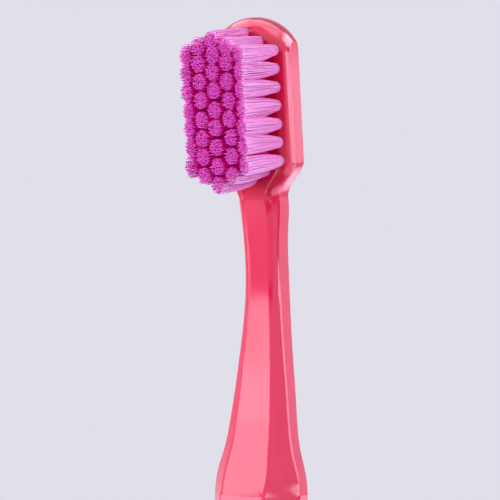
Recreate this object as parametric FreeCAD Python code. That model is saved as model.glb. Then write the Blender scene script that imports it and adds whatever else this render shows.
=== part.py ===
import FreeCAD, Part
import math
import os

# Manual toothbrush with a bevelled eight-sided grip, a slim neck and a flat leaning head.
# Millimetres and degrees. The origin is the centre of the flat end of the grip, +Z runs along the grip to the
# head, and the bristles point to -Y.

# Grip, straight from the flat end up to the swell under the shoulder
grip_height = 116.3           # flat end to the shoulder, which is the widest place
grip_half_width = 5.35
grip_half_depth = 5.5
grip_bevel = 3.1              # leg of the slanting facets along the straight grip
swell_length = 14.0           # from the top of the straight grip to the shoulder
end_rounding = 2.2            # where the grip turns into its flat end
facet_edge_radius = 0.5       # edges between two facets, where nothing else is given

# Heights up the swell, and how late its width and its depth change on the way to the shoulder
swell_shares = (0.2, 0.4, 0.6, 0.75, 0.9)
width_power = 2
depth_power = 5

# Shoulder, where the grip turns into the neck
shoulder_half_width = 6.05
shoulder_half_depth = 4.78
shoulder_side_flat = 2.0
shoulder_bevel = 2.96         # across the width

# Neck
neck_length = 36.07           # shoulder to the joint with the head
neck_half_width = 2.42        # at the slimmest place
neck_half_depth = 2.03
neck_side_flat = 2.5
neck_bevel = 0.78
neck_setback = 1.64           # how far the neck bows back behind the line of the grip
neck_edge_radius = 1.0        # the front edges soften to this towards the head

# Each row: height along the neck, then half width, bevel and half depth from neck (0) to shoulder (1), bow,
# and front edges from soft (0) to those of the shoulder (1)
neck_shares = (
    (0.044, 0.964, 0.945, 0.774, 0.024, 1.0),
    (0.089, 0.862, 0.795, 0.594, 0.060, 1.0),
    (0.147, 0.677, 0.626, 0.406, 0.170, 1.0),
    (0.216, 0.533, 0.489, 0.243, 0.317, 1.0),
    (0.319, 0.395, 0.371, 0.158, 0.560, 1.0),
    (0.491, 0.185, 0.182, 0.066, 0.820, 0.9),
    (0.660, 0.036, 0.078, 0.020, 1.000, 0.5),
    (0.796, 0.000, 0.000, 0.000, 0.880, 0.1),
    (0.907, 0.045, 0.000, 0.022, 0.670, 0.0),
)

# Joint between neck and head, measured back from the face of the head
joint_half_width = 2.85
joint_front = 0.2
joint_bevel = 0.9             # across the width
joint_bevel_depth = 1.2
head_lead = 1.95              # face of the head, in front of the line of the grip, at the joint
head_lean = 6.0               # degrees, towards the bristles

# Tuft field: five staggered columns, with the same distance from each tuft to its neighbours
tuft_pitch = 2.24             # down a column
column_counts = (7, 8, 9, 8, 7)
column_names = "abcde"
hole_diameter = 1.46
hole_depth = 3.0

# Head
side_margin = 0.99            # outermost hole to the side of the head
top_margin = 1.14             # topmost hole to the top of the head
root_margin = 1.86            # lowest hole to the joint
head_depth = 4.4
flank_height = 4.4            # sloping stretch from the joint out to the full width
crown_bulge = 0.63            # the round top's radius over half the width that it crosses
corner_ease = 0.3             # the top corners of its outline turn this much wider than the face rolls over
rolled_radius = 2.3           # the face rolls over to the sides and the round top
side_cut = 0.27               # the flat sides are cut this far into the rolled edge
side_edge_radius = 0.12       # edges of those flats
flank_edge_radius = 1.2       # these edges melt away down the flank
back_bevel = 1.4

# Each row: height up the flank, then half width from the joint (0) to the head (1)
flank_shares = ((0.168, 0.058), (0.362, 0.239), (0.623, 0.616))

# Tufts, folded over their anchors in the holes
bristle_length = 8.5          # out of the face
tip_radius = 0.95
belly_height_share = 0.35     # a tuft has most of its spread this far up
belly_share = 0.8
tip_rounding = 0.15
fold_rounding = 0.3
tuft_clearance = 0.02         # all round in the hole and round the anchor
edge_column_lean = 0.3        # the outer columns lean in by this at their tips

# Anchors, flat strips whose ends bite into the walls of the holes
anchor_length = 2.2
anchor_height = 1.3
anchor_thickness = 0.3
fold_height = 0.5             # filaments between the anchor and the bottom of the hole

cut_overrun = 1.0
touch = 0.001                 # closer than this counts as the same place

# Worked out from the values above
column_pitch = tuft_pitch * math.sqrt(3) / 2
hole_radius = hole_diameter / 2
half_field_height = (max(column_counts) - 1) / 2 * tuft_pitch
half_field_width = (len(column_counts) - 1) / 2 * column_pitch
head_half_width = half_field_width + hole_radius + side_margin
field_height = half_field_height + hole_radius + root_margin
head_height = field_height + half_field_height + hole_radius + top_margin
rolled_half_width = head_half_width + side_cut
rolled_reach = rolled_radius - side_cut
rolled_depth = rolled_radius - math.sqrt(rolled_radius**2 - rolled_reach**2)
rolled_tilt = math.asin(rolled_reach / rolled_radius)
head_side_back = head_depth - back_bevel + side_cut
crown_radius = rolled_half_width + crown_bulge
crown_corner_radius = rolled_radius + corner_ease
crown_height = head_height - crown_radius
corner_centre = rolled_half_width - crown_corner_radius
corner_rise = math.sqrt((crown_radius - crown_corner_radius)**2 - corner_centre**2)
corner_turn = math.atan2(corner_rise, corner_centre)
straight_top = grip_height - swell_length


def between(share, first, last):
    return first + share * (last - first)


def level_place(height, setback=0):
    """A level frame across the grip or neck, whose y runs back."""
    return FreeCAD.Placement(FreeCAD.Vector(0, setback, height), FreeCAD.Rotation())


def head_place(height):
    """A frame across the head at this height above the joint, whose y runs back from the face."""
    lean = FreeCAD.Rotation(FreeCAD.Vector(1, 0, 0), head_lean)
    joint = FreeCAD.Vector(0, -head_lead, grip_height + neck_length)
    return FreeCAD.Placement(joint + lean.multVec(FreeCAD.Vector(0, 0, height)), lean)


def rounded_wire(place, corners, radii):
    """A closed wire through the corners of a convex outline, turned by an arc where a radius is given."""
    points = [FreeCAD.Vector(x, y, 0) for x, y in corners]
    turns = []
    corners_in_turn = zip(points[-1:] + points[:-1], points, points[1:] + points[:1], radii)
    for last, corner, following, radius in corners_in_turn:
        to_last = (last - corner).normalize()
        to_next = (following - corner).normalize()
        inward = (to_last + to_next).normalize()
        half_angle = to_last.getAngle(to_next) / 2
        reach = radius / math.tan(half_angle)
        middle = corner + inward * (radius / math.sin(half_angle) - radius)
        turns.append((corner + to_last * reach, middle, corner + to_next * reach))
    edges = []
    for (start, middle, end), (next_start, _, _), radius in zip(turns, turns[1:] + turns[:1], radii):
        if radius:
            edges.append(Part.Arc(start, middle, end).toShape())
        edges.append(Part.LineSegment(end, next_start).toShape())
    wire = Part.Wire(edges)
    wire.Placement = place
    return wire


def bevelled_section(
        place, half_width, front, side_front, side_back, back, front_bevel, rear_bevel,
        front_radius, side_radius):
    """An eight-sided outline: flat front, back and sides, with slanting facets between them."""
    corners = (
        (-half_width + front_bevel, front),
        (half_width - front_bevel, front),
        (half_width, side_front),
        (half_width, side_back),
        (half_width - rear_bevel, back),
        (-half_width + rear_bevel, back),
        (-half_width, side_back),
        (-half_width, side_front),
    )
    radii = [front_radius] * 2 + [side_radius] + [facet_edge_radius] * 4 + [side_radius]
    return rounded_wire(place, corners, radii)


def even_section(place, half_width, half_depth, side_flat, bevel, front_radius):
    """An eight-sided outline whose back mirrors its front, apart from the softness of the front edges."""
    half_flat = side_flat / 2
    return bevelled_section(
        place, half_width, -half_depth, -half_flat, half_flat, half_depth, bevel, bevel, front_radius,
        facet_edge_radius)


def grip_section(height, inset=0):
    """The straight grip's outline, drawn in evenly by inset."""
    bevel = grip_bevel - inset * (2 - math.sqrt(2))
    half_depth = grip_half_depth - inset
    return even_section(
        level_place(height), grip_half_width - inset, half_depth, 2 * (half_depth - bevel), bevel,
        facet_edge_radius)


def shoulder_section():
    return even_section(
        level_place(grip_height), shoulder_half_width, shoulder_half_depth, shoulder_side_flat,
        shoulder_bevel, facet_edge_radius)


def joint_section():
    side_front = joint_front + joint_bevel_depth
    side_back = side_front + neck_side_flat
    return bevelled_section(
        head_place(0), joint_half_width, joint_front, side_front, side_back, side_back + neck_bevel,
        joint_bevel, joint_bevel, neck_edge_radius, facet_edge_radius)


def make_end():
    """The rounded foot of the grip, which closes in a quarter round to the flat end."""
    steps = 5
    sections = []
    for step in range(steps):
        turn = math.radians(90) * step / (steps - 1)
        height = end_rounding * (1 - math.cos(turn))
        inset = end_rounding * (1 - math.sin(turn))
        sections.append(grip_section(height, inset))
    return Part.makeLoft(sections, True, False)


def make_straight_grip():
    outline = Part.Face(grip_section(end_rounding))
    return outline.extrude(FreeCAD.Vector(0, 0, straight_top - end_rounding))


def make_swell():
    """From the straight grip to the shoulder, where the sides come out as the front and back go in."""
    straight_flat = 2 * (grip_half_depth - grip_bevel)
    sections = [grip_section(straight_top)]
    for rise_share in swell_shares:
        width_share = rise_share**width_power
        depth_share = rise_share**depth_power
        sections.append(even_section(
            level_place(straight_top + rise_share * swell_length),
            between(width_share, grip_half_width, shoulder_half_width),
            between(depth_share, grip_half_depth, shoulder_half_depth),
            between(width_share, straight_flat, shoulder_side_flat),
            between(width_share, grip_bevel, shoulder_bevel),
            facet_edge_radius,
        ))
    sections.append(shoulder_section())
    return Part.makeLoft(sections, True, False)


def make_neck():
    """From the shoulder up through the slimmest place to the joint with the head."""
    sections = [shoulder_section()]
    for height_share, width_share, bevel_share, depth_share, bow_share, edge_share in neck_shares:
        sections.append(even_section(
            level_place(grip_height + height_share * neck_length, bow_share * neck_setback),
            between(width_share, neck_half_width, shoulder_half_width),
            between(depth_share, neck_half_depth, shoulder_half_depth),
            between(width_share, neck_side_flat, shoulder_side_flat),
            between(bevel_share, neck_bevel, shoulder_bevel),
            between(edge_share, neck_edge_radius, facet_edge_radius),
        ))
    sections.append(joint_section())
    return Part.makeLoft(sections, True, False)


def head_outline():
    """The head from the front: straight sides that run into the round top without a corner."""
    corner_height = crown_height + corner_rise
    half_turn = corner_turn / 2
    right = [FreeCAD.Vector(x, 0, z) for x, z in (
        (rolled_half_width, flank_height),
        (rolled_half_width, corner_height),
        (corner_centre + crown_corner_radius * math.cos(half_turn),
         corner_height + crown_corner_radius * math.sin(half_turn)),
        (crown_radius * math.cos(corner_turn), crown_height + crown_radius * math.sin(corner_turn)),
    )]
    left = [FreeCAD.Vector(-point.x, 0, point.z) for point in reversed(right)]
    return Part.Wire([
        Part.LineSegment(right[0], right[1]).toShape(),
        Part.Arc(*right[1:]).toShape(),
        Part.Arc(right[-1], FreeCAD.Vector(0, 0, head_height), left[0]).toShape(),
        Part.Arc(*left[:-1]).toShape(),
        Part.LineSegment(left[-2], left[-1]).toShape(),
        Part.LineSegment(left[-1], right[0]).toShape(),
    ])


def edges_round(head, depth):
    """The edges that run round the head at this depth behind its face, all but those across its foot."""
    found = []
    for edge in head.Edges:
        box = edge.BoundBox
        level = abs(box.YMin - depth) < touch and abs(box.YMax - depth) < touch
        if level and box.ZMax > flank_height + touch:
            found.append(edge)
    return found


def edges_of_sides(head):
    """The edges of the two flat sides, all but those across the foot."""
    found = []
    for face in head.Faces:
        if abs(abs(face.CenterOfMass.x) - head_half_width) < touch:
            found += [edge for edge in face.Edges if edge.BoundBox.ZMax > flank_height + touch]
    return found


def make_head():
    """A slab whose face rolls over at its edge, cut by the two flat sides, in the frame of the joint."""
    slab = Part.Face(head_outline()).extrude(FreeCAD.Vector(0, head_depth, 0))
    slab = slab.makeFillet(rolled_radius, edges_round(slab, 0))
    slab = slab.makeChamfer(back_bevel, edges_round(slab, head_depth))
    slab = slab.makeFillet(
        facet_edge_radius, edges_round(slab, head_depth) + edges_round(slab, head_depth - back_bevel))
    between_sides = Part.makeBox(
        2 * head_half_width, head_depth, head_height, FreeCAD.Vector(-head_half_width, 0, 0))
    head = slab.common(between_sides)
    return head.makeFillet(side_edge_radius, edges_of_sides(head))


def foot_wire(head):
    """The outline across the foot of the head, each rolled edge in two to pair with the neck's facets."""
    foot = min(head.Faces, key=lambda face: face.CenterOfMass.z)
    edges = []
    for edge in foot.OuterWire.Edges:
        curve = edge.Curve
        first, last = edge.ParameterRange
        if isinstance(curve, Part.Circle) and abs(curve.Radius - rolled_radius) < touch:
            middle = (first + last) / 2
            edges += [curve.toShape(first, middle), curve.toShape(middle, last)]
        else:
            edges.append(curve.toShape(first, last))
    return Part.Wire(Part.__sortEdges__(edges))


def make_flank(head):
    """From the joint out to the foot of the head, in a hollow curve."""
    joint_side_front = joint_front + joint_bevel_depth
    joint_side_back = joint_side_front + neck_side_flat
    rim_inset = rolled_reach - rolled_radius * math.tan(rolled_tilt / 2)
    sections = [joint_section()]
    for rise_share, width_share in flank_shares:
        sections.append(bevelled_section(
            head_place(rise_share * flank_height),
            between(width_share, joint_half_width, head_half_width),
            between(rise_share, joint_front, 0),
            between(rise_share, joint_side_front, rolled_depth),
            between(rise_share, joint_side_back, head_side_back),
            between(rise_share, joint_side_back + neck_bevel, head_depth),
            between(rise_share, joint_bevel, rim_inset),
            between(rise_share, joint_bevel, back_bevel),
            between(rise_share, neck_edge_radius, rolled_radius),
            flank_edge_radius,
        ))
    sections.append(placed(foot_wire(head), head_place(0)))
    return Part.makeLoft(sections, True, False)


def tuft_places():
    """Name, side (-1 and 1 for the outer columns, else 0) and a frame at the mouth of each hole."""
    places = []
    last_column = len(column_counts) - 1
    for column, count in enumerate(column_counts):
        across = (column - last_column / 2) * column_pitch
        side = (column == last_column) - (column == 0)
        for row in range(count):
            up = field_height + ((count - 1) / 2 - row) * tuft_pitch
            on_face = FreeCAD.Placement(FreeCAD.Vector(across, 0, up), FreeCAD.Rotation())
            places.append((column_names[column] + str(row + 1), side, head_place(0).multiply(on_face)))
    return places


def round_at(depth, radius, shift=0):
    """A circle across a tuft, at this depth behind the face."""
    circle = Part.Circle(FreeCAD.Vector(shift, depth, 0), FreeCAD.Vector(0, 1, 0), radius)
    return Part.Wire(circle.toShape())


def anchor_block(length, clearance=0):
    """The space of an anchor in its hole, with the clearance added round its height and thickness."""
    height = anchor_height + 2 * clearance
    thickness = anchor_thickness + 2 * clearance
    seat = hole_depth - fold_height + clearance
    return Part.makeBox(length, height, thickness, FreeCAD.Vector(-length / 2, seat - height, -thickness / 2))


def make_tuft(side):
    """A folded bundle of filaments that fills its hole and spreads a little towards its tip."""
    root_radius = hole_radius - tuft_clearance
    bottom = hole_depth - tuft_clearance
    lean = -side * edge_column_lean
    belly_radius = between(belly_share, root_radius, tip_radius)
    rounding_share = (bristle_length - tip_rounding) / bristle_length
    outlines = [
        round_at(bottom, root_radius - fold_rounding),
        round_at(bottom - fold_rounding, root_radius),
        round_at(0, root_radius),
        round_at(-belly_height_share * bristle_length, belly_radius, lean * belly_height_share),
        round_at(tip_rounding - bristle_length, tip_radius, lean * rounding_share),
        round_at(-bristle_length, tip_radius - tip_rounding, lean),
    ]
    return Part.makeLoft(outlines, True, True).cut(anchor_block(hole_diameter, tuft_clearance))


def make_hole():
    """A blind hole and the slot that the anchor cuts in its wall."""
    mouth = FreeCAD.Vector(0, -cut_overrun, 0)
    bore = Part.makeCylinder(hole_radius, hole_depth + cut_overrun, mouth, FreeCAD.Vector(0, 1, 0))
    return bore.fuse(anchor_block(anchor_length))


def placed(shape, place):
    copy = shape.copy()
    copy.Placement = place
    return copy


def make_handle(places):
    """The whole moulding: grip, neck and head, with its tuft holes."""
    head = make_head()
    body = make_end().fuse([
        make_straight_grip(), make_swell(), make_neck(), make_flank(head), placed(head, head_place(0))])
    hole = make_hole()
    return body.cut([placed(hole, place) for _, _, place in places])


def main():
    os.makedirs("parts", exist_ok=True)
    places = tuft_places()
    make_handle(places).exportStep("parts/handle.step")
    anchor = anchor_block(anchor_length)
    anchors = Part.makeCompound([placed(anchor, place) for _, _, place in places])
    anchors.exportStep("parts/tuft_anchors.step")
    tufts = {side: make_tuft(side) for side in (-1, 0, 1)}
    for name, side, place in places:
        placed(tufts[side], place).exportStep("parts/tuft_" + name + ".step")


main()
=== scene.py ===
import math

import bmesh
import bpy
import numpy as np
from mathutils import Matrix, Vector


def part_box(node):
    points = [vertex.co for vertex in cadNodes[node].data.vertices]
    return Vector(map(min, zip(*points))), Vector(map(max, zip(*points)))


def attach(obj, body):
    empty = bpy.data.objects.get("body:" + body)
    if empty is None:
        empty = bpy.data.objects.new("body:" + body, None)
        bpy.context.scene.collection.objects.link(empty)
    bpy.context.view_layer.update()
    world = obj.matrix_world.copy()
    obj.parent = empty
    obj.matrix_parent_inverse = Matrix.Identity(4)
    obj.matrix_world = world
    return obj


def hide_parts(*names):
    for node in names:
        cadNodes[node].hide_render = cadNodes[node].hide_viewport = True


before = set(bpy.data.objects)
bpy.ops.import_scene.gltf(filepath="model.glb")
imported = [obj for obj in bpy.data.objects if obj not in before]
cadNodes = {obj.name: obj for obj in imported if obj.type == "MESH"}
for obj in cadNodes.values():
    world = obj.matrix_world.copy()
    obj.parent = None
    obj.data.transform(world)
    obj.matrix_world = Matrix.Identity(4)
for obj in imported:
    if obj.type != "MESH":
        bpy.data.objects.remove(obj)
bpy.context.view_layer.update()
print("frame loaded:", len(cadNodes), "nodes")

mm = 0.001


def linearColour(rgb):
    # 0-255 screen colour to the linear RGBA that the sockets take
    def channel(value):
        share = value / 255
        return share / 12.92 if share <= 0.04045 else ((share + 0.055) / 1.055) ** 2.4
    return tuple(channel(value) for value in rgb) + (1.0,)


# shader nodes

class Wire:
    # a node's output, which adds its own Math nodes
    def __init__(self, paint, socket):
        self.paint = paint
        self.socket = socket

    def math(self, operation, first, second):
        return self.paint.node("ShaderNodeMath", {"operation": operation}, {0: first, 1: second})

    def __add__(self, other):
        return self.math("ADD", self, other)

    def __radd__(self, other):
        return self.math("ADD", other, self)

    def __sub__(self, other):
        return self.math("SUBTRACT", self, other)

    def __rsub__(self, other):
        return self.math("SUBTRACT", other, self)

    def __mul__(self, other):
        return self.math("MULTIPLY", self, other)

    def __rmul__(self, other):
        return self.math("MULTIPLY", other, self)

    def __truediv__(self, other):
        return self.math("DIVIDE", self, other)

    def __rtruediv__(self, other):
        return self.math("DIVIDE", other, self)

    def __abs__(self):
        return self.math("ABSOLUTE", self, 0.0)

    def atLeast(self, other):
        return self.math("MAXIMUM", self, other)


class Paint:
    # one node tree, emptied
    def __init__(self, tree):
        self.tree = tree
        tree.nodes.clear()

    def node(self, kind, settings=None, inputs=None, output=0):
        made = self.tree.nodes.new(kind)
        for name, value in (settings or {}).items():
            setattr(made, name, value)
        for name, value in (inputs or {}).items():
            if isinstance(value, Wire):
                self.tree.links.new(value.socket, made.inputs[name])
            else:
                made.inputs[name].default_value = value
        return Wire(self, made.outputs[output]) if len(made.outputs) else made

    def mixColour(self, share, first, second):
        return self.node("ShaderNodeMix", {"data_type": "RGBA"}, {0: share, 6: first, 7: second}, output=2)

    def noise(self, place, size, detail):
        # a cloud whose lumps are about this many metres across
        return self.node("ShaderNodeTexNoise", inputs={"Vector": place, "Scale": 1 / size, "Detail": detail})

    def dot(self, vector, direction):
        return self.node("ShaderNodeVectorMath", {"operation": "DOT_PRODUCT"},
                         {0: vector, 1: tuple(direction)}, output="Value")

    def ramp(self, value, low, high):
        return self.node("ShaderNodeMapRange", {"interpolation_type": "SMOOTHSTEP"},
                         {"Value": value, "From Min": low, "From Max": high})


def newMaterial(name):
    material = bpy.data.materials.new(name)
    material.use_nodes = True
    return material, Paint(material.node_tree)


# anchors: stamped brass strip, seen only when a tuft is drawn

anchorBrass = {
    "colour": (214, 190, 128),
    "dullColour": (176, 148, 92),
    "stainSize": 0.6 * mm,
    "stainDetail": 3.0,
    "roughness": 0.28,
    "stainRoughness": 0.2,
}


def stampedBrass(look):
    material, paint = newMaterial("stampedBrass")
    place = paint.node("ShaderNodeTexCoord", output="Object")
    stain = paint.noise(place, look["stainSize"], look["stainDetail"])
    surface = paint.node("ShaderNodeBsdfPrincipled", inputs={
        "Base Color": paint.mixColour(stain, linearColour(look["colour"]), linearColour(look["dullColour"])),
        "Metallic": 1.0,
        "Roughness": look["roughness"] + stain * look["stainRoughness"],
    })
    paint.node("ShaderNodeOutputMaterial", inputs={"Surface": surface})
    return material


cadNodes["tuft_anchors"].data.materials[0] = stampedBrass(anchorBrass)
print("anchors finished")

# head's own axes, from two tufts of the middle column

across = Vector((1, 0, 0))
headUp = (sum(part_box("tuft_c1"), Vector()) - sum(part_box("tuft_c9"), Vector())).normalized()
outward = across.cross(headUp)

# tufts: filaments folded in two round their anchor

tuftStrands = {
    "standOut": 8.5 * mm,             # face to tips
    "thickness": 0.1 * mm,
    "spacing": 0.108 * mm,
    "rootRadius": 0.71 * mm,
    "tipRadius": 0.99 * mm,
    "flareRate": 2.5,                 # spreads mostly in the first third
    "tipScatter": 0.065 * mm,
    "trimScatter": 0.09 * mm,
    "crown": 0.25 * mm,               # outer filaments end this much lower
    "bend": 0.05 * mm,
    "strayShare": 0.05,
    "strayScatter": 0.18 * mm,
    "tuftScatter": 0.07 * mm,         # whole tufts off their grid
    "halfScatter": 0.02,              # share by which a tuft's two halves differ in width
    # the outer columns lean in by these
    "edgeLean": {"a": 0.15 * mm, "e": 0.12 * mm},
    # the topmost tufts hang by these
    "topLean": {"a": 0.15 * mm, "b": 0.3 * mm, "c": 0.6 * mm, "d": 0.45 * mm, "e": 0.35 * mm},
    "tipShape": (0.9, 1.06),          # spread of the tips across and up
    "edgeShape": {"a": (0.72, 1.34), "e": (0.72, 1.2)},
    "anchorTop": 1.2 * mm,            # below the face
    "anchorFoot": 2.5 * mm,
    "foldFoot": 2.9 * mm,
    "anchorClear": 0.18 * mm,
    "partingShare": 0.6,              # of the way down to the anchor, where the legs begin to part
    "endBulge": 0.2,                  # of the end's radius
    "sides": 5,
    "seed": 39,
}
legShares = (0.0, 0.1, 0.25, 0.45, 0.68, 0.88)   # rings up the free length, below the rounded end
endRounding = ((0.5, 1.0), (0.15, 0.72))         # below the tip and across, in filament radii
foldTurn = (0.0, 0.25, 0.5, 0.75, 1.0)           # round the anchor's foot


def nodePoints(name):
    mesh = cadNodes[name].data
    points = np.empty(len(mesh.vertices) * 3)
    mesh.vertices.foreach_get("co", points)
    return points.reshape(-1, 3)


def tuftSeat(name, look):
    # middle of the tuft's hole, at the face
    points = nodePoints(name)
    level = points @ np.array(outward)
    face = level.max() - look["standOut"]
    inHole = points[level < face - look["anchorTop"]]
    side = inHole @ np.array(across)
    up = inHole @ np.array(headUp)
    return across * ((side.min() + side.max()) / 2) + headUp * ((up.min() + up.max()) / 2) + outward * face


def strandGrid(look):
    # closest packing in half of the hole; the other half is the same strands coming back
    reach = look["rootRadius"] - look["thickness"] / 2
    rowStep = look["spacing"] * math.sqrt(3) / 2
    spots = []
    for row in range(int(reach / rowStep) + 1):
        up = (row + 0.5) * rowStep
        count = int(2 * reach / look["spacing"])
        for step in range(-count, count + 1):
            side = (step + 0.25 + 0.5 * (row % 2)) * look["spacing"]
            if math.hypot(side, up) < reach:
                spots.append((side, up))
    return np.array(spots)


def legPath(root, tip, bend, length, look):
    # points of one leg from the face to its rounded end: side, up, out
    radius = look["thickness"] / 2
    outs = [share * (length - radius) for share in legShares]
    outs = np.array(outs + [length - below * radius for below, _ in endRounding])
    share = np.clip(outs / look["standOut"], 0, None)
    flare = ((1 - np.exp(-look["flareRate"] * share)) / (1 - math.exp(-look["flareRate"])))[..., None]
    bow = np.sin(np.pi * np.clip(share, 0, 1))[..., None] * bend
    flat = root + (tip - root) * flare + bow
    return np.concatenate([flat, outs[..., None]], axis=2)


def makeTuft(name, number, look):
    rng = np.random.default_rng(look["seed"] + number)
    half = strandGrid(look)
    count = len(half)
    column = name[-2]
    shape = np.array(look["edgeShape"].get(column, look["tipShape"]))
    lean = look["edgeLean"].get(column, 0.0) * (1 if column == "a" else -1)
    hang = look["topLean"][column] if name[-1] == "1" else 0.0
    middle = rng.normal(0, look["tuftScatter"], 2) + (lean, -hang)
    spread = (look["tipRadius"] - look["thickness"] / 2) / (look["rootRadius"] - look["thickness"] / 2)
    squeeze = 1 - look["anchorClear"] / look["rootRadius"]
    legs = []
    for side in (1, -1):
        root = half * (1, side)
        scatter = rng.normal(0, look["tipScatter"], (count, 2))
        stray = rng.random(count) < look["strayShare"]
        scatter += stray[:, None] * rng.normal(0, look["strayScatter"], (count, 2))
        tip = root * spread * shape * rng.normal(1, look["halfScatter"]) + scatter + middle
        bend = rng.normal(0, look["bend"], (count, 2))
        edge = (np.hypot(*root.T) / look["rootRadius"]) ** 2
        length = look["standOut"] - look["crown"] * edge - np.abs(rng.normal(0, look["trimScatter"], count))
        leg = legPath(root, tip, bend, length, look)
        # down the hole, beside the anchor
        beside = root.copy()
        beside[:, 1] = side * (look["anchorClear"] + np.abs(root[:, 1]) * squeeze)
        depths = ((root, look["anchorTop"] * look["partingShare"]), (beside, look["anchorTop"]))
        down = np.array([np.column_stack([flat, np.full(count, -depth)]) for flat, depth in depths])
        legs.append((np.concatenate([down[::-1], leg]), beside))
    # round the anchor's foot, the outer strands deepest
    (first, beside), (second, _) = legs
    foldDrop = (look["foldFoot"] - look["anchorFoot"]) * beside[:, 1] / look["rootRadius"]
    turns = []
    for share in foldTurn:
        angle = math.pi * share
        depth = look["anchorFoot"] + foldDrop * math.sin(angle)
        turns.append(np.column_stack([beside[:, 0], beside[:, 1] * math.cos(angle), -depth]))
    path = np.concatenate([first[::-1], np.array(turns), second])
    return buildTubes(name, path, look)


def buildTubes(name, path, look):
    # path: rings x strands x (side, up, out)
    axes = np.array((across, headUp, outward))
    spots = path @ axes + np.array(tuftSeat("tuft_" + name[-2:], look))
    rings, count, _ = spots.shape
    tangent = np.gradient(spots, axis=0)
    tangent /= np.linalg.norm(tangent, axis=2, keepdims=True)
    level = np.array(across)
    first = level - tangent * (tangent @ level)[..., None]
    first /= np.linalg.norm(first, axis=2, keepdims=True)
    second = np.cross(tangent, first)
    radius = np.full(rings, look["thickness"] / 2)
    for step, (_, wide) in enumerate(reversed(endRounding)):
        radius[step] *= wide
        radius[-1 - step] *= wide
    sides = look["sides"]
    angle = np.arange(sides) * 2 * math.pi / sides
    ring = first[..., None, :] * np.cos(angle)[:, None] + second[..., None, :] * np.sin(angle)[:, None]
    points = spots[:, :, None, :] + ring * radius[:, None, None, None]
    bulge = tangent * (radius * look["endBulge"])[:, None, None]
    ends = np.stack([spots[0] - bulge[0], spots[-1] + bulge[-1]])
    points = np.concatenate([points.reshape(-1, 3), ends.reshape(-1, 3)])
    # ring r, strand s, side k
    index = np.arange(rings * count * sides).reshape(rings, count, sides)
    following = np.roll(index, -1, axis=2)
    walls = np.stack([index[:-1], following[:-1], following[1:], index[1:]], axis=-1).reshape(-1, 4)
    tips = rings * count * sides + np.arange(2 * count).reshape(2, count)
    startTips, endTips = np.repeat(tips[:, :, None], sides, axis=2)
    startCap = np.stack([following[0], index[0], startTips], axis=-1).reshape(-1, 3)
    endCap = np.stack([index[-1], following[-1], endTips], axis=-1).reshape(-1, 3)
    mesh = bpy.data.meshes.new(name)
    mesh.from_pydata(points.tolist(), [], walls.tolist() + startCap.tolist() + endCap.tolist())
    mesh.shade_smooth()
    piece = bpy.data.objects.new(name, mesh)
    bpy.context.scene.collection.objects.link(piece)
    return piece


bristleNylon = {
    "rootColour": (240, 146, 216),     # outside of the field, by the face, darkened with painted shade
    "sideColour": (252, 176, 238),     # outside of the field, by the tips
    "shadedInsideColour": (252, 12, 186),    # painted shade among the tufts
    "glowColour": (40, 0, 27),         # painted glow, standing in for light that seeps through the filaments there
    "endColour": (246, 128, 236),
    "deepEndColour": (246, 70, 210),   # cut ends of the darkest filaments
    "endReach": (0.9, 0.97),           # painted light: among the tufts, filaments take the paler end colours this far along, by the tips
    "outerSide": (3.3 * mm, 4.3 * mm),   # from the middle of the field across to its outside
    "outerEnd": (8.6 * mm, 9.6 * mm),  # and the same up and down, on its slanting ends
    "endSlant": math.tan(math.radians(30)),
    "endLevel": (0.45, 0.8),           # how squarely a face looks outward before it counts as a cut end
    "fleck": 0.25,                     # difference from filament to filament
    "roughness": 0.34,
    "roughnessSpread": 0.14,
    "refraction": 1.53,
}


def dyedNylonWithPaintedShade(look, middle, length):
    # middle: the field's middle, on the face
    material, paint = newMaterial("dyedNylonWithPaintedShade")
    place = paint.node("ShaderNodeTexCoord", output="Object")
    normal = paint.node("ShaderNodeNewGeometry", output="Normal")
    own = paint.node("ShaderNodeNewGeometry", output="Random Per Island")
    offset = paint.node("ShaderNodeVectorMath", {"operation": "SUBTRACT"}, {0: place, 1: tuple(middle)})
    share = paint.dot(offset, outward) / length
    along = paint.ramp(share, 0.0, 1.0)
    aside = abs(paint.dot(offset, across))
    aloft = abs(paint.dot(offset, headUp)) + aside * look["endSlant"]
    outside = paint.ramp(aside, *look["outerSide"]).atLeast(paint.ramp(aloft, *look["outerEnd"]))
    cutEnd = paint.ramp(paint.dot(normal, outward), *look["endLevel"])
    # painted light: among the tufts, the painted shade gives way to the paler end colours by the tips
    byTip = paint.ramp(share, *look["endReach"]) * (1 - outside)
    pale = cutEnd.atLeast(byTip)
    fleck = own * own * look["fleck"]
    inside = linearColour(look["shadedInsideColour"])
    glow = linearColour(look["glowColour"])
    noGlow = linearColour((0, 0, 0))
    # painted shade: the outer sides grow darker towards the face
    side = paint.mixColour(along, linearColour(look["rootColour"]), linearColour(look["sideColour"]))
    # painted shade: sides among the tufts take the deep colour, and the field's outside keeps the paler side
    # colours
    side = paint.mixColour(outside * (1 - fleck), inside, side)
    end = paint.mixColour(own, linearColour(look["endColour"]), linearColour(look["deepEndColour"]))
    surface = paint.node("ShaderNodeBsdfPrincipled", inputs={
        "Base Color": paint.mixColour(pale, side, end),
        "Roughness": look["roughness"] + own * look["roughnessSpread"],
        "IOR": look["refraction"],
        # painted glow on the filament sides among the tufts
        "Emission Color": paint.mixColour(outside.atLeast(pale), glow, noGlow),
        "Emission Strength": 1.0,
    })
    paint.node("ShaderNodeOutputMaterial", inputs={"Surface": surface})
    return material


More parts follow.
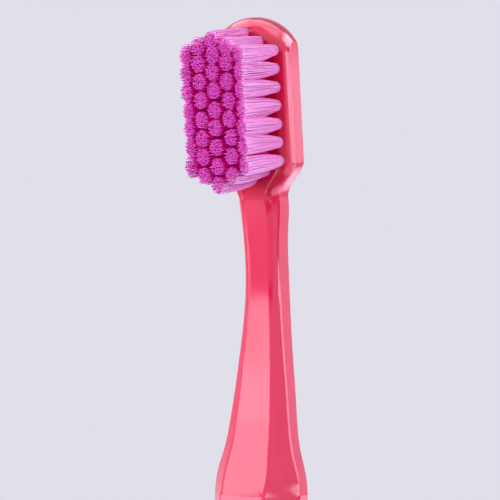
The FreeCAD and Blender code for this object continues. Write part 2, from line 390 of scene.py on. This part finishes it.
fieldMiddle = tuftSeat("tuft_c5", tuftStrands)
nylon = dyedNylonWithPaintedShade(bristleNylon, fieldMiddle, tuftStrands["standOut"])
tuftNames = sorted(name for name in cadNodes if name.startswith("tuft_") and name != "tuft_anchors")
for number, nodeName in enumerate(tuftNames):
    tuft = makeTuft(nodeName.replace("tuft", "bristles"), number, tuftStrands)
    tuft.data.materials.append(nylon)
    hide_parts(nodeName)
    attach(tuft, "root")
print("tufts finished:", len(tuftNames), "of", len(strandGrid(tuftStrands)), "folded filaments")

# handle: glossy moulded plastic

handlePlastic = {
    "colour": (237, 14, 80),
    "flowColour": (231, 10, 73),      # faint streaks where the melt flowed
    "flowWidth": 1.6 * mm,
    "flowLength": 30 * mm,
    "flowDetail": 3.0,
    "flowReach": (0.35, 0.7),         # of the cloud's height
    "shadeColour": (212, 4, 58),      # painted shade: deeper among the tufts, where little light gets in
    "shadeSide": (4.3 * mm, 5.3 * mm),    # from the middle of the field across, up and down
    "shadeUp": (7.6 * mm, 9.2 * mm),
    "shadeDown": (10.4 * mm, 12.4 * mm),
    "shadeDepth": (-1.2 * mm, -0.5 * mm),   # outward, just below the face
    "roughness": 0.11,
    "smudgeRoughness": 0.07,
    "smudgeSize": 9 * mm,
    "smudgeDetail": 4.0,
    "smudgeReach": (0.45, 0.75),
    "rippleSize": 6 * mm,             # slow ripple of the mould's polish
    "rippleDetail": 0.0,
    "rippleHeight": 0.012 * mm,
    "grainSize": 0.12 * mm,
    "grainDetail": 1.0,
    "grainHeight": 0.0002 * mm,
    "refraction": 1.44,
}


def mouldedPlastic(look, middle):
    # middle: the tuft field's middle, on the face
    material, paint = newMaterial("coralPlastic")
    place = paint.node("ShaderNodeTexCoord", output="Object")
    offset = paint.node("ShaderNodeVectorMath", {"operation": "SUBTRACT"}, {0: place, 1: tuple(middle)})
    # painted shade on the face among the tufts, fading out beyond the field and above the face
    beyond = paint.ramp(abs(paint.dot(offset, across)), *look["shadeSide"])
    beyond = beyond.atLeast(paint.ramp(paint.dot(offset, headUp), *look["shadeUp"]))
    beyond = beyond.atLeast(paint.ramp(paint.dot(offset, -headUp), *look["shadeDown"]))
    shade = paint.ramp(paint.dot(offset, outward), *look["shadeDepth"]) * (1 - beyond)
    stretch = look["flowWidth"] / look["flowLength"]
    along = paint.node("ShaderNodeVectorMath", {"operation": "MULTIPLY"}, {0: place, 1: (1, 1, stretch)})
    flow = paint.ramp(paint.noise(along, look["flowWidth"], look["flowDetail"]), *look["flowReach"])
    smudge = paint.ramp(paint.noise(place, look["smudgeSize"], look["smudgeDetail"]), *look["smudgeReach"])
    ripple = paint.noise(place, look["rippleSize"], look["rippleDetail"])
    grain = paint.noise(place, look["grainSize"], look["grainDetail"])
    height = ripple * look["rippleHeight"] + grain * look["grainHeight"]
    bump = paint.node("ShaderNodeBump", inputs={"Strength": 1.0, "Distance": 1.0, "Height": height})
    colour = paint.mixColour(flow, linearColour(look["colour"]), linearColour(look["flowColour"]))
    colour = paint.mixColour(shade, colour, linearColour(look["shadeColour"]))
    surface = paint.node("ShaderNodeBsdfPrincipled", inputs={
        "Base Color": colour,
        "Roughness": look["roughness"] + smudge * look["smudgeRoughness"],
        "IOR": look["refraction"],
        "Normal": bump,
    })
    paint.node("ShaderNodeOutputMaterial", inputs={"Surface": surface})
    return material


cadNodes["handle"].data.materials[0] = mouldedPlastic(handlePlastic, fieldMiddle)
print("handle finished")

# studio

studio = {
    "backdrop": (224, 223, 234),
    "dimRoom": (0.03, 0.03, 0.032, 1.0),  # on the camera's side, seen only in reflections
    "dimReach": (-0.6, 0.3),              # from the camera's side round to the backdrop
    "floorColour": (210, 209, 219),
    "floorRadius": 1.0,
    "floorCorners": 128,
    "floorFade": (0.2, 0.65),             # from solid to clear, in metres from its middle
    "ambient": (0.25, 0.25, 0.26, 1.0),   # world light on the object
}


def makeFloor(look):
    outline = bmesh.new()
    bmesh.ops.create_circle(outline, cap_ends=True,
                            segments=look["floorCorners"], radius=look["floorRadius"])
    mesh = bpy.data.meshes.new("floor")
    outline.to_mesh(mesh)
    outline.free()
    floor = bpy.data.objects.new("floor", mesh)
    bpy.context.scene.collection.objects.link(floor)
    material, paint = newMaterial("paleFloor")
    place = paint.node("ShaderNodeTexCoord", output="Object")
    reach = paint.node("ShaderNodeVectorMath", {"operation": "LENGTH"}, {0: place}, output="Value")
    surface = paint.node("ShaderNodeBsdfPrincipled", inputs={
        "Base Color": linearColour(look["floorColour"]),
        "Roughness": 1.0,
        "Specular IOR Level": 0.0,
        "Alpha": 1 - paint.ramp(reach, *look["floorFade"]),
    })
    paint.node("ShaderNodeOutputMaterial", inputs={"Surface": surface})
    mesh.materials.append(material)


def makeWorld(look, towardCamera):
    world = bpy.data.worlds.new("studio")
    bpy.context.scene.world = world
    world.use_nodes = True
    paint = Paint(world.node_tree)
    seen = paint.node("ShaderNodeLightPath", output="Is Camera Ray")
    glossy = paint.node("ShaderNodeLightPath", output="Is Glossy Ray")
    through = paint.node("ShaderNodeLightPath", output="Is Transmission Ray")
    direction = paint.node("ShaderNodeTexCoord", output="Generated")
    behind = paint.ramp(paint.dot(direction, -towardCamera), *look["dimReach"])
    backdrop = linearColour(look["backdrop"])
    mirrored = paint.mixColour(behind, look["dimRoom"], backdrop)
    colour = paint.mixColour(glossy, look["ambient"], mirrored)
    colour = paint.mixColour(seen + through, colour, backdrop)
    sky = paint.node("ShaderNodeBackground", inputs={"Color": colour, "Strength": 1.0})
    paint.node("ShaderNodeOutputWorld", inputs={"Surface": sky})


softboxHub = Vector((0, 0, 155 * mm))   # all panels face the head's foot
neutral = (0.92, 0.88, 1.0)
cool = (0.88, 0.79, 1.0)
softboxes = {
    # direction from the hub in degrees (round from the front, and up), distance in metres,
    # degrees wide and tall, glow, where 1 is white, the share of the panel over which it fades
    # at its edges, and colour
    "frontLeft": (-40, 17, 0.75, 28, 40, 7.7, 0.08, neutral),
    "left": (-64, 2, 0.75, 34, 56, 3.5, 0.38, neutral),
    "frontRight": (60, 6, 0.6, 36, 60, 2.1, 0.1, neutral),
    "right": (104, 10, 0.5, 48, 36, 3.5, 0.2, cool),
    "backRight": (148, 1, 0.6, 30, 32, 1.1, 0.35, cool),
}
sheenPanels = {
    # the same, but only mirrored in the gloss
    "frontFill": (12, 29, 0.6, 66, 62, 2.1, 0.12, neutral),
    "frontLow": (-33, -23.6, 0.06, 50, 18.8, 1.9, 0.03, neutral),
    "frontHigh": (32, 58, 0.6, 50, 34, 2.4, 0.3, neutral),
    "frontUnder": (14, -16, 0.15, 66, 20, 1.7, 0.12, neutral),
    "leftHigh": (-85, 52, 0.7, 70, 28, 5.1, 0.25, neutral),
    "top": (0, 86, 0.6, 62, 62, 4.9, 0.2, neutral),
    "rightSheen": (108, 14, 0.5, 48, 36, 4.8, 0.2, cool),
    "rightHigh": (107, 43, 0.6, 76, 46, 17.0, 0.28, cool),
    "rightLow": (81, -2, 0.4, 42, 6.4, 11.5, 0.1, cool),
    "underRight": (95, -46, 0.15, 80, 34, 3.8, 0.2, cool),
    "underBack": (158, -32, 0.2, 70, 30, 3.2, 0.2, cool),
    "backBand": (150, 6.2, 0.15, 44, 10.5, 1.5, 0.2, cool),
}


def makeSoftbox(name, look, lightsObject):
    # panel that faces the hub and fades towards its edges
    azimuth, rise, distance, wide, tall, glow, fade, colour = look
    width, height = (2 * distance * math.tan(math.radians(angle) / 2) for angle in (wide, tall))
    data = bpy.data.lights.new(name, "AREA")
    data.shape = "RECTANGLE"
    data.size = width
    data.size_y = height
    data.energy = glow * math.pi * width * height
    data.color = colour
    data.use_nodes = True
    paint = Paint(data.node_tree)
    spot = paint.node("ShaderNodeNewGeometry", output="Parametric")   # 0 to 1 along each edge
    fades = []
    for axis in ((1, 0, 0), (0, 1, 0)):
        fromEdge = 0.5 - abs(paint.dot(spot, axis) - 0.5)
        fades.append(paint.ramp(fromEdge, 0.0, fade))
    panel = paint.node("ShaderNodeEmission", inputs={"Strength": fades[0] * fades[1]})
    paint.node("ShaderNodeOutputLight", inputs={"Surface": panel})
    lamp = bpy.data.objects.new(name, data)
    bpy.context.scene.collection.objects.link(lamp)
    turn, lift = math.radians(azimuth), math.radians(rise)
    away = Vector((math.sin(turn) * math.cos(lift), -math.cos(turn) * math.cos(lift), math.sin(lift)))
    lamp.location = softboxHub + away * distance
    lamp.rotation_mode = "QUATERNION"
    lamp.rotation_quaternion = (-away).to_track_quat("-Z", "Y")
    lamp.visible_camera = False
    lamp.visible_diffuse = lightsObject


camera = {
    "azimuth": 30,                    # degrees round to the brush's left
    "distance": 300 * mm,
    "aim": (-1.18 * mm, -0.68 * mm, 146.3 * mm),
    "lens": 175,                      # in millimetres, as is the sensor
    "sensor": 36,
    "nearest": 10 * mm,
}


def makeCamera(look, back):
    data = bpy.data.cameras.new("camera")
    data.lens = look["lens"]
    data.sensor_width = look["sensor"]
    data.clip_start = look["nearest"]
    viewer = bpy.data.objects.new("camera", data)
    bpy.context.scene.collection.objects.link(viewer)
    viewer.location = Vector(look["aim"]) + back * look["distance"]
    viewer.rotation_mode = "QUATERNION"
    viewer.rotation_quaternion = (-back).to_track_quat("-Z", "Y")
    bpy.context.scene.camera = viewer


cameraTurn = math.radians(camera["azimuth"])
towardCamera = Vector((math.sin(cameraTurn), -math.cos(cameraTurn), 0))
makeFloor(studio)
makeWorld(studio, towardCamera)
for lampName, lampLook in softboxes.items():
    makeSoftbox(lampName, lampLook, True)
for panelName, panelLook in sheenPanels.items():
    makeSoftbox(panelName, panelLook, False)
makeCamera(camera, towardCamera)
bpy.context.scene.view_settings.view_transform = "Standard"
print("studio finished:", len(softboxes), "softboxes,", len(sheenPanels), "sheen panels")
